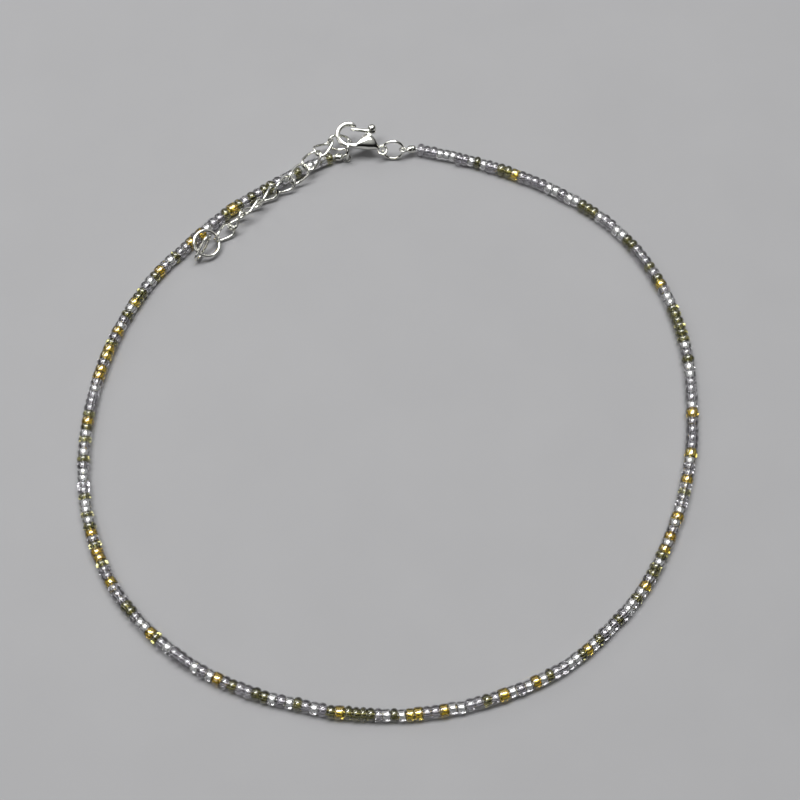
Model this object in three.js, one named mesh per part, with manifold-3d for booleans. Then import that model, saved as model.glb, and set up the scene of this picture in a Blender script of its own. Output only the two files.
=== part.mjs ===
import * as THREE from 'three';
import { mergeVertices } from 'three/addons/utils/BufferGeometryUtils.js';
import Module from 'manifold-3d';

// Choker of seed beads lying fastened on a table, in millimetres, +Z up.
// The clasp and the extender chain are at the far side (+Y), the front of the choker at -Y.

const wasm = await Module();
wasm.setup();

const DEG = Math.PI / 180;

// String of seed beads
const BEAD_DIAMETER = 2.2;
const STRING_SIDES = 8;
const STRING_STEPS = 64;
const STRING_ROUTE = [
  { x: 4.8, y: 50.1 },
  { x: 11.1, y: 48.6 },
  { x: 19.4, y: 45.9 },
  { x: 27.3, y: 42.4 },
  { x: 34.7, y: 37.8 },
  { x: 41.0, y: 31.9 },
  { x: 45.7, y: 24.7 },
  { x: 48.9, y: 16.6 },
  { x: 50.5, y: 8.1 },
  { x: 50.6, y: -0.6 },
  { x: 49.8, y: -9.3 },
  { x: 47.8, y: -17.7 },
  { x: 44.6, y: -25.8 },
  { x: 40.3, y: -33.3 },
  { x: 34.6, y: -39.8 },
  { x: 28.0, y: -45.4 },
  { x: 20.3, y: -49.4 },
  { x: 12.0, y: -52.0 },
  { x: 3.5, y: -53.4 },
  { x: -5.2, y: -53.3 },
  { x: -13.8, y: -52.0 },
  { x: -22.2, y: -49.7 },
  { x: -30.1, y: -46.1 },
  { x: -37.0, y: -41.0 },
  { x: -42.9, y: -34.6 },
  { x: -47.1, y: -27.0 },
  { x: -49.7, y: -18.7 },
  { x: -50.7, y: -10.1 },
  { x: -50.3, y: -1.5 },
  { x: -48.7, y: 7.1 },
  { x: -45.8, y: 15.3 },
  { x: -41.7, y: 22.9 },
  { x: -36.1, y: 29.6 },
  { x: -30.1, y: 35.8 },
  { x: -23.2, y: 41.1 },
  { x: -15.9, y: 45.8 },
  { x: -12.6, y: 47.6 },
  { x: -10.6, y: 48.5 },
];

// Lobster clasp, drawn flat with the hook's centre at its origin and the tail along +x
const CLASP_AT = { x: -7.65, y: 51.6, z: 3.5 };
const CLASP_TURN = { heading: -21, tilt: 12, roll: 15 };
const HOOK_OUTER = 2.3;
const HOOK_INNER = 1.65;
const HOOK_THICK = 1.0;
const HOOK_TIP = 72;
const HOOK_HEEL = 300;
const SHOULDER_THICK = 2.2;
const SLOT_WIDTH = 1.0;
const PIVOT = { x: 3.4, y: 0.9 };
const PIN_RADIUS = 0.28;
const PIN_LENGTH = 1.9;
const EYE_AT = 6.64;
const EYE_RADIUS = 0.8;
const EYE_WIRE = 0.22;
const LEVER_THICK = 0.7;
const LEVER_HOLE = 0.42;

// Jump rings
const CHAIN_RING = { radius: 1.7, wire: 0.27, angle: -70, out: 0.5, drop: 0.65 };
const CLASP_RING = { radius: 1.87, wire: 0.26, x: 0.33, y: 49.3, z: 2.12, lean: 70 };
const END_RING = { radius: 2.3, wire: 0.3, heading: 215, rise: 10, lean: -25 };

// Extender chain: every link runs from the wire of the one before
const LINK_HALF_LENGTH = 2.12;
const LINK_HALF_WIDTH = 1.25;
const LINK_WIRE = 0.25;
const LINK_TWIST = 45;
const LINK_OVERLAP = 0.68;
const CHAIN_START = -150;
const CHAIN = [
  { heading: 185, rise: 10, roll: -25 },
  { heading: 230, rise: 10, roll: 20 },
  { heading: 235, rise: -5, roll: -5 },
  { heading: 225, rise: -10, roll: -35 },
  { heading: 215, rise: 0, roll: -65 },
  { heading: 222, rise: 0, roll: -90 },
  { heading: 220, rise: 5, roll: -120 },
  { heading: 230, rise: -15, roll: -120 },
  { heading: 225, rise: 5, roll: -65 },
];
const TAIL_LINK = { halfLength: 2.4, halfWidth: 1.1, x: -32.9, y: 28.8, z: 2.3, heading: 235, rise: -35, roll: 85 };

// Crimps at the two ends of the string
const CRIMP_RADIUS = 0.75;
const CRIMP_EYE = 0.65;
const CRIMP_WIRE = 0.15;
const CRIMP_RIGHT = { angle: 0, x: 4.42, y: 50.1, z: 1.3 };
const CRIMP_LEFT = { angle: -35, x: -10.35, y: 48.55, z: 1.1 };

// The loop's middle lies over the origin
const MIDDLE_Y = 0.37;

function silver() {
  return new THREE.MeshStandardMaterial({ color: 0xd4d4d2, roughness: 0.18, metalness: 1.0 });
}

function glass() {
  return new THREE.MeshStandardMaterial({ color: 0x9c9aa4, roughness: 0.15, metalness: 0.0 });
}

function named(name, geometry, material) {
  const mesh = new THREE.Mesh(geometry, material);
  mesh.name = name;
  return mesh;
}

function toSolid(geometry) {
  const bare = geometry.index ? geometry.toNonIndexed() : geometry.clone();
  bare.deleteAttribute('normal');
  bare.deleteAttribute('uv');
  const welded = mergeVertices(bare, 1e-4);
  const mesh = new wasm.Mesh({
    numProp: 3,
    vertProperties: new Float32Array(welded.attributes.position.array),
    triVerts: new Uint32Array(welded.index.array),
  });
  return new wasm.Manifold(mesh);
}

function toGeometry(solid) {
  const mesh = solid.getMesh();
  const geometry = new THREE.BufferGeometry();
  geometry.setAttribute('position', new THREE.Float32BufferAttribute(mesh.vertProperties, 3));
  geometry.setIndex(Array.from(mesh.triVerts));
  geometry.computeVertexNormals();
  return geometry;
}

function arc(points, cx, cy, radius, fromDeg, toDeg, steps) {
  for (let i = 0; i <= steps; i += 1) {
    const angle = (fromDeg + ((toDeg - fromDeg) * i) / steps) * DEG;
    points.push(new THREE.Vector2(cx + radius * Math.cos(angle), cy + radius * Math.sin(angle)));
  }
  return points;
}

function line(points, ...pairs) {
  for (const [x, y] of pairs) {
    points.push(new THREE.Vector2(x, y));
  }
  return points;
}

// A flat shape of the given thickness, centred on z = 0, its edges rounded inward
function plate(points, thick, bevel, segments, holes = []) {
  const shape = new THREE.Shape(points);
  shape.holes.push(...holes);
  const geometry = new THREE.ExtrudeGeometry(shape, {
    depth: thick - 2 * bevel,
    bevelEnabled: bevel > 0,
    bevelThickness: bevel,
    bevelSize: bevel,
    bevelOffset: -bevel,
    bevelSegments: segments,
    steps: 1,
    curveSegments: 6,
  });
  geometry.translate(0, 0, -thick / 2 + bevel);
  return geometry;
}

function ringGeometry(radius, wire, around, sides) {
  return new THREE.TorusGeometry(radius, wire, sides, around);
}

// String
function buildString() {
  const inner = BEAD_DIAMETER / 2;
  const corner = inner / Math.cos(Math.PI / STRING_SIDES);
  const section = arc([], 0, 0, corner, 22.5, 22.5 + 315, STRING_SIDES - 1);
  const route = STRING_ROUTE.map((p) => new THREE.Vector3(p.x, p.y, inner));
  const geometry = new THREE.ExtrudeGeometry(new THREE.Shape(section), {
    steps: STRING_STEPS,
    bevelEnabled: false,
    extrudePath: new THREE.CatmullRomCurve3(route, false, 'centripetal'),
  });
  return named('bead_string', geometry, glass());
}

// Clasp
function buildClaspBody() {
  const hook = arc([], 0, 0, HOOK_OUTER, HOOK_TIP, HOOK_HEEL, 22);
  line(hook, [2.33, -1.8], [3.3, -1.5], [4.2, -0.98], [5.5, -0.35], [6.0, -0.3]);
  line(hook, [6.0, 0.3], [5.5, 0.4], [4.85, 0.97], [3.9, 1.5], [2.6, 1.45], [1.95, 1.38]);
  line(hook, [2.05, 0.5], [1.9, -0.3]);
  arc(hook, 0, 0, HOOK_INNER, 325, HOOK_TIP, 20);
  const shoulder = line([], [2.05, -1.8], [2.4, -1.76], [3.3, -1.46], [4.2, -0.95], [5.5, -0.32]);
  line(shoulder, [5.95, -0.27], [5.95, 0.27], [5.5, 0.37], [4.85, 0.95], [3.9, 1.46]);
  line(shoulder, [2.6, 1.42], [2.1, 1.3], [2.2, 0.4], [2.1, -0.6]);
  const eye = ringGeometry(EYE_RADIUS, EYE_WIRE, 14, 6);
  eye.translate(EYE_AT, 0, 0);
  const slot = new THREE.BoxGeometry(3.3, 3.0, SLOT_WIDTH);
  slot.translate(1.6 + 1.65, 0.1 + 1.5, 0);
  const pin = new THREE.CylinderGeometry(PIN_RADIUS, PIN_RADIUS, PIN_LENGTH, 10);
  pin.rotateX(90 * DEG);
  pin.translate(PIVOT.x, PIVOT.y, 0);
  const solid = toSolid(plate(hook, HOOK_THICK, 0.2, 1))
    .add(toSolid(plate(shoulder, SHOULDER_THICK, 0.26, 1)))
    .add(toSolid(eye))
    .subtract(toSolid(slot))
    .add(toSolid(pin));
  return named('clasp_body', toGeometry(solid), silver());
}

function buildClaspLever() {
  const edge = line([], [0.1, 0.85], [1.2, 1.0], [2.5, 1.05]);
  arc(edge, PIVOT.x, PIVOT.y, 0.62, 185, 360, 8);
  line(edge, [4.3, 2.2], [4.25, 2.65]);
  arc(edge, 3.15, 2.75, 0.7, 0, 180, 8);
  line(edge, [2.35, 2.3], [1.1, 1.6], [0.7, 1.42], [0.1, 1.28]);
  const hole = new THREE.Path(arc([], PIVOT.x, PIVOT.y, LEVER_HOLE, 0, -330, 11));
  const geometry = plate(edge, LEVER_THICK, 0, 0, [hole]);
  return named('clasp_lever', geometry, silver());
}

function buildClasp() {
  const clasp = new THREE.Group();
  clasp.position.set(CLASP_AT.x, CLASP_AT.y, CLASP_AT.z);
  const turn = CLASP_TURN;
  clasp.rotation.set(turn.roll * DEG, turn.tilt * DEG, turn.heading * DEG, 'ZYX');
  clasp.add(buildClaspBody(), buildClaspLever());
  return clasp;
}

// Jump ring round the lower arm of the hook, placed in the clasp's own frame
function chainRingFrame() {
  const angle = CHAIN_RING.angle * DEG;
  const mid = (HOOK_OUTER + HOOK_INNER) / 2;
  const out = new THREE.Vector3(Math.cos(angle), Math.sin(angle), 0);
  const second = new THREE.Vector3(0, 0, 1);
  const centre = out.clone().multiplyScalar(mid + CHAIN_RING.out);
  centre.addScaledVector(second, -CHAIN_RING.drop);
  return { out, second, normal: out.clone().cross(second), centre };
}

function buildChainRing() {
  const geometry = ringGeometry(CHAIN_RING.radius, CHAIN_RING.wire, 16, 6);
  const mesh = named('chain_ring', geometry, silver());
  const frame = chainRingFrame();
  const basis = new THREE.Matrix4().makeBasis(frame.out, frame.second, frame.normal);
  mesh.quaternion.setFromRotationMatrix(basis);
  mesh.position.copy(frame.centre);
  return mesh;
}

function buildClaspRing() {
  const geometry = ringGeometry(CLASP_RING.radius, CLASP_RING.wire, 16, 6);
  const mesh = named('clasp_ring', geometry, silver());
  mesh.rotation.set(CLASP_RING.lean * DEG, 0, 0);
  mesh.position.set(CLASP_RING.x, CLASP_RING.y, CLASP_RING.z);
  return mesh;
}

// Chain links: a ring drawn out into an oval, its two ends turned against each other
function linkGeometry(halfLength, halfWidth, wire, twistDeg) {
  const around = 16;
  const geometry = ringGeometry(halfWidth, wire, around, 6);
  geometry.rotateZ(Math.PI / around);
  const place = geometry.attributes.position;
  const point = new THREE.Vector3();
  const lengthwise = new THREE.Vector3(1, 0, 0);
  for (let i = 0; i < place.count; i += 1) {
    point.fromBufferAttribute(place, i);
    point.x += Math.sign(point.x) * (halfLength - halfWidth);
    point.applyAxisAngle(lengthwise, (-twistDeg * DEG * point.x) / halfLength);
    place.setXYZ(i, point.x, point.y, point.z);
  }
  return geometry;
}

function headingVector(headingDeg, riseDeg) {
  const flat = Math.cos(riseDeg * DEG);
  const x = flat * Math.cos(headingDeg * DEG);
  const y = flat * Math.sin(headingDeg * DEG);
  return new THREE.Vector3(x, y, Math.sin(riseDeg * DEG));
}

function buildChain(startWire) {
  const chain = new THREE.Group();
  const wire = startWire.clone();
  let before = headingVector(CHAIN[0].heading, CHAIN[0].rise);
  const hang = (mesh, along, half) => {
    const corner = before.clone().add(along).normalize();
    wire.addScaledVector(corner, -LINK_OVERLAP).addScaledVector(along, half);
    mesh.position.copy(wire);
    wire.addScaledVector(along, half);
    before = along;
    chain.add(mesh);
  };
  CHAIN.forEach((row, i) => {
    const geometry = linkGeometry(LINK_HALF_LENGTH, LINK_HALF_WIDTH, LINK_WIRE, LINK_TWIST);
    const link = named(`chain_link_${i + 1}`, geometry, silver());
    link.rotation.set(row.roll * DEG, -row.rise * DEG, row.heading * DEG, 'ZYX');
    hang(link, headingVector(row.heading, row.rise), LINK_HALF_LENGTH);
  });
  const endRing = named('end_ring', ringGeometry(END_RING.radius, END_RING.wire, 20, 6), silver());
  endRing.rotation.set(END_RING.lean * DEG, -END_RING.rise * DEG, END_RING.heading * DEG, 'ZYX');
  hang(endRing, headingVector(END_RING.heading, END_RING.rise), END_RING.radius);
  const tail = named('tail_link', linkGeometry(TAIL_LINK.halfLength, TAIL_LINK.halfWidth, LINK_WIRE, 0), silver());
  tail.rotation.set(TAIL_LINK.roll * DEG, -TAIL_LINK.rise * DEG, TAIL_LINK.heading * DEG, 'ZYX');
  tail.position.set(TAIL_LINK.x, TAIL_LINK.y, TAIL_LINK.z);
  chain.add(tail);
  return chain;
}

// Crimps: a short barrel on the string's end with an eye round the ring's wire
function buildCrimp(name, spec, ring, radius) {
  const angle = spec.angle * DEG;
  const from = new THREE.Vector3(Math.cos(angle), Math.sin(angle), 0);
  from.multiplyScalar(radius).applyMatrix4(ring.matrixWorld);
  const wire = new THREE.Vector3(-Math.sin(angle), Math.cos(angle), 0);
  wire.transformDirection(ring.matrixWorld);
  const along = new THREE.Vector3(spec.x, spec.y, spec.z).sub(from);
  const length = along.length();
  along.normalize();
  const side = wire.clone().cross(along).normalize();
  const up = along.clone().cross(side);
  const profile = line([], [0, 0], [0.55, 0], [CRIMP_RADIUS, 0.2], [CRIMP_RADIUS, length - 1.0]);
  line(profile, [0.6, length - 0.8], [0, length - 0.8]);
  const barrel = new THREE.LatheGeometry(profile, 10);
  barrel.rotateZ(-90 * DEG);
  barrel.translate(0.7, 0, 0);
  const eye = ringGeometry(CRIMP_EYE, CRIMP_WIRE, 12, 6);
  const solid = toSolid(barrel).add(toSolid(eye));
  const mesh = named(name, toGeometry(solid), silver());
  mesh.quaternion.setFromRotationMatrix(new THREE.Matrix4().makeBasis(along, side, up));
  mesh.position.copy(from);
  return mesh;
}

function buildNecklace() {
  const lying = new THREE.Group();
  const clasp = buildClasp();
  const chainRing = buildChainRing();
  const claspRing = buildClaspRing();
  clasp.add(chainRing);
  lying.add(buildString(), clasp, claspRing);
  lying.updateMatrixWorld(true);
  const start = CHAIN_START * DEG;
  const wirePoint = new THREE.Vector3(Math.cos(start), Math.sin(start), 0);
  wirePoint.multiplyScalar(CHAIN_RING.radius).applyMatrix4(chainRing.matrixWorld);
  lying.add(buildChain(wirePoint));
  lying.add(buildCrimp('crimp_right', CRIMP_RIGHT, claspRing, CLASP_RING.radius));
  lying.add(buildCrimp('crimp_left', CRIMP_LEFT, chainRing, CHAIN_RING.radius));
  lying.position.set(0, MIDDLE_Y, 0);
  const necklace = new THREE.Group();
  necklace.add(lying);
  return necklace;
}

export default buildNecklace();
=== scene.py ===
"""Looks of a fine choker of glass seed beads, lying fastened on a pale table top.

Every size is in millimetres and is turned into metres where a mesh is placed. The studio is in metres.
"""

from __future__ import annotations

import logging
import math
import random
from dataclasses import dataclass, field
from enum import Enum
from typing import Iterable, NamedTuple, Sequence

import bmesh
import bpy
from mathutils import Euler, Matrix, Vector

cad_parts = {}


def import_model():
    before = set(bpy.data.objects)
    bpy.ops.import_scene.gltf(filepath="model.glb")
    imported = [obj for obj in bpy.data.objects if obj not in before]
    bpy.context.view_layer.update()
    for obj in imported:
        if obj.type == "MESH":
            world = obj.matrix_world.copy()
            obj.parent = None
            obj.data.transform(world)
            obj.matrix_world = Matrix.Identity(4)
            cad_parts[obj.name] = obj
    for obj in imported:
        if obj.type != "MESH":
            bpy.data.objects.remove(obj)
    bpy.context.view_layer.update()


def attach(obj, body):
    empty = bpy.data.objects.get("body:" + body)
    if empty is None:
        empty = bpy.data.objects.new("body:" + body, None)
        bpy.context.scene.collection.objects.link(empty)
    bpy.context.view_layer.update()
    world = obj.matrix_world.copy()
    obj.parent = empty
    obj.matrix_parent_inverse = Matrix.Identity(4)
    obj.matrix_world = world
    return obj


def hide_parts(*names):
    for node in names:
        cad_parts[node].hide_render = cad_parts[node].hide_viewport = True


LOG = logging.getLogger("choker")
MM = 0.001
UP = Vector((0.0, 0.0, 1.0))
# From the origin of the drawing to the middle of the outline, where the part has its own origin.
MIDDLE = Vector((0.0, 0.37, 0.0))
NECKLACE = "necklace"
LEVER = "lever"
SILVER = "silver"

Colour = tuple[float, float, float]
Point = tuple[float, float, float]


def to_metres(local: Matrix | None = None) -> Matrix:
    """The matrix that takes a shape drawn in millimetres to its place in the part's frame.

    Args:
        local: where the shape lies in the necklace, in millimetres.

    Returns:
        The full placing matrix.
    """
    placed = Matrix.Identity(4) if local is None else local
    return Matrix.Scale(MM, 4) @ Matrix.Translation(MIDDLE) @ placed


def turned(heading: float, rise: float, roll: float) -> Matrix:
    """A turn by heading about Z, then a rise of its length, then a roll about its length, in degrees."""
    angles = (math.radians(roll), math.radians(-rise), math.radians(heading))
    return Euler(angles, "XYZ").to_matrix().to_4x4()


# Finishes


class NodeBench:
    """Lays shader nodes in one tree and wires them."""

    def __init__(self, tree: bpy.types.NodeTree) -> None:
        """Keeps the tree that the nodes go in."""
        self.tree = tree

    def add(self, kind: str, **values: object) -> bpy.types.Node:
        """Adds a node and sets its plain properties.

        Args:
            kind: the node's type name.
            values: properties of the node.

        Returns:
            The new node.
        """
        node = self.tree.nodes.new(kind)
        for name, value in values.items():
            setattr(node, name, value)
        return node

    def wire(self, source: bpy.types.NodeSocket, target: bpy.types.NodeSocket) -> None:
        """Joins two sockets."""
        self.tree.links.new(source, target)

    def noise(self, scale: float, detail: float) -> bpy.types.NodeSocket:
        """Adds noise over the piece's Object coordinates.

        Args:
            scale: of the noise, for each metre.
            detail: its octaves.

        Returns:
            The socket with the noise's value.
        """
        place = self.add("ShaderNodeTexCoord")
        noise = self.add("ShaderNodeTexNoise")
        noise.inputs["Scale"].default_value = scale
        noise.inputs["Detail"].default_value = detail
        self.wire(place.outputs["Object"], noise.inputs["Vector"])
        return noise.outputs["Fac"]


def group_tree(name: str, inputs: dict[str, tuple[str, object]], outputs: dict[str, str]) -> NodeBench:
    """Starts a shader node group with named sockets.

    Args:
        name: the group's name.
        inputs: socket name to its type and first value.
        outputs: socket name to its type.

    Returns:
        A bench on the new group.
    """
    tree = bpy.data.node_groups.new(name, "ShaderNodeTree")
    for label, (kind, value) in inputs.items():
        socket = tree.interface.new_socket(label, in_out="INPUT", socket_type=kind)
        socket.default_value = value
    for label, kind in outputs.items():
        tree.interface.new_socket(label, in_out="OUTPUT", socket_type=kind)
    return NodeBench(tree)


class SharedEffects:
    """The node groups that more than one finish uses."""

    CANE_SCALE = 1400.0
    CLOUD_SCALE = 900.0
    RUBBED_SCALE = 5200.0
    DULL_FROM, DULL_TO = 0.45, 0.75
    ROUGH_FROM, ROUGH_TO = 0.4, 0.8

    def __init__(self) -> None:
        """Builds each group once."""
        self.bead_tone = self._bead_tone()
        self.handled_metal = self._handled_metal()

    def _bead_tone(self) -> bpy.types.NodeTree:
        """Colour that differs from bead to bead, with faint streaks of the drawn glass cane.

        Returns:
            The group.
        """
        bench = group_tree(
            "bead_tone",
            {
                "Deep": ("NodeSocketColor", (0.1, 0.1, 0.1, 1.0)),
                "Light": ("NodeSocketColor", (0.5, 0.5, 0.5, 1.0)),
                "Streak": ("NodeSocketFloat", 0.2),
            },
            {"Color": "NodeSocketColor"},
        )
        enter = bench.add("NodeGroupInput")
        leave = bench.add("NodeGroupOutput")
        tone = bench.add("ShaderNodeAttribute", attribute_name="tone")
        centred = bench.add("ShaderNodeMath", operation="SUBTRACT")
        centred.inputs[1].default_value = 0.5
        streak = bench.add("ShaderNodeMath", operation="MULTIPLY")
        total = bench.add("ShaderNodeMath", operation="ADD", use_clamp=True)
        mix = bench.add("ShaderNodeMix", data_type="RGBA")
        bench.wire(bench.noise(self.CANE_SCALE, 3.0), centred.inputs[0])
        bench.wire(centred.outputs[0], streak.inputs[0])
        bench.wire(enter.outputs["Streak"], streak.inputs[1])
        bench.wire(tone.outputs["Fac"], total.inputs[0])
        bench.wire(streak.outputs[0], total.inputs[1])
        bench.wire(total.outputs[0], mix.inputs["Factor"])
        bench.wire(enter.outputs["Deep"], mix.inputs["A"])
        bench.wire(enter.outputs["Light"], mix.inputs["B"])
        bench.wire(mix.outputs["Result"], leave.inputs["Color"])
        return bench.tree

    def _handled_metal(self) -> bpy.types.NodeTree:
        """Soft clouding and a fine rubbed relief, as on plated metal that has been handled.

        Returns:
            The group.
        """
        bench = group_tree(
            "handled_metal",
            {
                "Bright": ("NodeSocketColor", (0.9, 0.9, 0.9, 1.0)),
                "Dull": ("NodeSocketColor", (0.6, 0.6, 0.6, 1.0)),
                "Smooth": ("NodeSocketFloat", 0.1),
                "Rubbed": ("NodeSocketFloat", 0.3),
            },
            {"Color": "NodeSocketColor", "Roughness": "NodeSocketFloat", "Height": "NodeSocketFloat"},
        )
        enter = bench.add("NodeGroupInput")
        leave = bench.add("NodeGroupOutput")
        cloud = bench.noise(self.CLOUD_SCALE, 4.0)
        dull = bench.add("ShaderNodeMapRange")
        dull.inputs["From Min"].default_value = self.DULL_FROM
        dull.inputs["From Max"].default_value = self.DULL_TO
        rough = bench.add("ShaderNodeMapRange")
        rough.inputs["From Min"].default_value = self.ROUGH_FROM
        rough.inputs["From Max"].default_value = self.ROUGH_TO
        mix = bench.add("ShaderNodeMix", data_type="RGBA")
        bench.wire(cloud, dull.inputs["Value"])
        bench.wire(cloud, rough.inputs["Value"])
        bench.wire(enter.outputs["Smooth"], rough.inputs["To Min"])
        bench.wire(enter.outputs["Rubbed"], rough.inputs["To Max"])
        bench.wire(dull.outputs["Result"], mix.inputs["Factor"])
        bench.wire(enter.outputs["Bright"], mix.inputs["A"])
        bench.wire(enter.outputs["Dull"], mix.inputs["B"])
        bench.wire(mix.outputs["Result"], leave.inputs["Color"])
        bench.wire(rough.outputs["Result"], leave.inputs["Roughness"])
        bench.wire(bench.noise(self.RUBBED_SCALE, 2.0), leave.inputs["Height"])
        return bench.tree


def new_material(name: str) -> tuple[bpy.types.Material, NodeBench, bpy.types.Node]:
    """Starts a material with a Principled shader.

    Args:
        name: the material's name.

    Returns:
        The material, a bench on its tree and its shader node.
    """
    material = bpy.data.materials.new(name)
    material.use_nodes = True
    bench = NodeBench(material.node_tree)
    return material, bench, material.node_tree.nodes["Principled BSDF"]


def rgba(colour: Colour) -> tuple[float, float, float, float]:
    """The colour with full alpha."""
    return (*colour, 1.0)


@dataclass(frozen=True)
class GlassFinish:
    """One kind of bead glass, from its deepest to its lightest tone, with a painted dark rim of shade and
    reflection where its surface turns away from the camera.
    """

    name: str
    deep: Colour
    light: Colour
    # The edge colour and its blend paint a dark rim: painted shade and painted dark reflection at the
    # glancing edge.
    edge: Colour
    painted_rim_blend: float
    streak: float
    roughness: float
    ior: float = 1.52
    coat_ior: float = 1.6
    coat_roughness: float = 0.03

    def build(self, effects: SharedEffects) -> bpy.types.Material:
        """Makes the material from the shared bead tone.

        Args:
            effects: the shared node groups.

        Returns:
            The glass material.
        """
        material, bench, shader = new_material(self.name)
        tone = bench.add("ShaderNodeGroup", node_tree=effects.bead_tone)
        tone.inputs["Deep"].default_value = rgba(self.deep)
        tone.inputs["Light"].default_value = rgba(self.light)
        tone.inputs["Streak"].default_value = self.streak
        # Painted dark rim: the edge colour is mixed in by facing, as painted shade and dark reflection
        # where the surface turns away from the camera.
        rim = bench.add("ShaderNodeLayerWeight")
        rim.inputs["Blend"].default_value = self.painted_rim_blend
        thick = bench.add("ShaderNodeMix", data_type="RGBA")
        thick.inputs["B"].default_value = rgba(self.edge)
        bench.wire(rim.outputs["Facing"], thick.inputs["Factor"])
        bench.wire(tone.outputs["Color"], thick.inputs["A"])
        bench.wire(thick.outputs["Result"], shader.inputs["Base Color"])
        shader.inputs["Roughness"].default_value = self.roughness
        shader.inputs["IOR"].default_value = self.ior
        shader.inputs["Transmission Weight"].default_value = 1.0
        shader.inputs["Coat Weight"].default_value = 1.0
        shader.inputs["Coat Roughness"].default_value = self.coat_roughness
        shader.inputs["Coat IOR"].default_value = self.coat_ior
        return material


@dataclass(frozen=True)
class MetalFinish:
    """Plated metal of the findings, or the silvering inside a bead."""

    name: str
    bright: Colour
    dull: Colour
    smooth: float
    rubbed: float
    relief: float
    relief_depth: float = 0.02

    def build(self, effects: SharedEffects) -> bpy.types.Material:
        """Makes the material from the shared metal clouding.

        Args:
            effects: the shared node groups.

        Returns:
            The metal material.
        """
        material, bench, shader = new_material(self.name)
        metal = bench.add("ShaderNodeGroup", node_tree=effects.handled_metal)
        metal.inputs["Bright"].default_value = rgba(self.bright)
        metal.inputs["Dull"].default_value = rgba(self.dull)
        metal.inputs["Smooth"].default_value = self.smooth
        metal.inputs["Rubbed"].default_value = self.rubbed
        bump = bench.add("ShaderNodeBump")
        bump.inputs["Strength"].default_value = self.relief
        bump.inputs["Distance"].default_value = self.relief_depth * MM
        bench.wire(metal.outputs["Color"], shader.inputs["Base Color"])
        bench.wire(metal.outputs["Roughness"], shader.inputs["Roughness"])
        bench.wire(metal.outputs["Height"], bump.inputs["Height"])
        bench.wire(bump.outputs["Normal"], shader.inputs["Normal"])
        shader.inputs["Metallic"].default_value = 1.0
        return material


@dataclass(frozen=True)
class MatteFinish:
    """A matt surface with a faint mottle: the thread and the table top."""

    name: str
    deep: Colour
    light: Colour
    scale: float
    roughness: float
    detail: float = 5.0

    def build(self) -> bpy.types.Material:
        """Makes the mottled material.

        Returns:
            The matt material.
        """
        material, bench, shader = new_material(self.name)
        mix = bench.add("ShaderNodeMix", data_type="RGBA")
        mix.inputs["A"].default_value = rgba(self.deep)
        mix.inputs["B"].default_value = rgba(self.light)
        bench.wire(bench.noise(self.scale, self.detail), mix.inputs["Factor"])
        bench.wire(mix.outputs["Result"], shader.inputs["Base Color"])
        shader.inputs["Roughness"].default_value = self.roughness
        return material


class BeadKind(Enum):
    """The four kinds of bead, by the letter that charts them."""

    GREY = "G"
    CLEAR = "C"
    GOLD = "Y"
    OLIVE = "O"


# Each glass's edge colour is a painted dark rim of shade and reflection, mixed in where the surface turns
# away from the camera.
GLASSES = {
    BeadKind.GREY: GlassFinish(
        "smoky_glass",
        deep=(0.66, 0.64, 0.68),
        light=(0.88, 0.865, 0.895),
        edge=(0.22, 0.215, 0.245),
        painted_rim_blend=0.32,
        streak=0.2,
        roughness=0.05,
    ),
    BeadKind.CLEAR: GlassFinish(
        "clear_glass",
        deep=(0.94, 0.94, 0.95),
        light=(0.99, 0.99, 0.99),
        edge=(0.88, 0.88, 0.9),
        painted_rim_blend=0.25,
        streak=0.1,
        roughness=0.03,
    ),
    BeadKind.GOLD: GlassFinish(
        "amber_glass",
        deep=(0.92, 0.64, 0.05),
        light=(1.0, 0.81, 0.14),
        edge=(0.08, 0.035, 0.002),
        painted_rim_blend=0.42,
        streak=0.2,
        roughness=0.06,
    ),
    BeadKind.OLIVE: GlassFinish(
        "olive_glass",
        deep=(0.29, 0.275, 0.085),
        light=(0.53, 0.5, 0.22),
        edge=(0.004, 0.004, 0.001),
        painted_rim_blend=0.5,
        streak=0.2,
        roughness=0.08,
    ),
}
HOLE_LININGS = {
    BeadKind.CLEAR: MetalFinish(
        "bead_silvering", (0.98, 0.98, 0.97), (0.9, 0.9, 0.89), smooth=0.3, rubbed=0.45, relief=0.3
    ),
    BeadKind.GOLD: MetalFinish(
        "bead_gilding", (0.98, 0.92, 0.7), (0.9, 0.8, 0.5), smooth=0.2, rubbed=0.4, relief=0.3
    ),
}
SILVER_PLATE = MetalFinish(
    "plated_silver", (0.76, 0.76, 0.71), (0.52, 0.52, 0.47), smooth=0.06, rubbed=0.16, relief=0.1
)
BEADING_THREAD = MatteFinish(
    "beading_thread", (0.5, 0.5, 0.5), (0.75, 0.75, 0.74), scale=3000.0, roughness=0.6
)
TABLE_TOP = MatteFinish(
    "pale_table", (0.196, 0.196, 0.2), (0.214, 0.214, 0.218), scale=60.0, roughness=0.75
)


class Materials:
    """The necklace's materials, each built once."""

    def __init__(self) -> None:
        """Builds them all from their finishes. A bead with no lining has glass in its hole too."""
        effects = SharedEffects()
        self.glass = {kind: finish.build(effects) for kind, finish in GLASSES.items()}
        self.hole = {**self.glass, **{kind: lining.build(effects) for kind, lining in HOLE_LININGS.items()}}
        self.silver = SILVER_PLATE.build(effects)
        self.thread = BEADING_THREAD.build()


# Shapes


class RingSize(NamedTuple):
    """A wire ring: radius to the wire's middle, the wire's radius and its saw cut in degrees."""

    radius: float
    wire: float
    cut: float = 0.0


class LinkSize(NamedTuple):
    """A chain link, measured to the wire's middle, with the wire's radius and the twist in degrees."""

    half_length: float
    half_width: float
    wire: float
    twist: float


class BarRow(NamedTuple):
    """One section of a bar: its middle, its half width and its half thickness."""

    x: float
    y: float
    half: float
    thick: float


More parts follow.
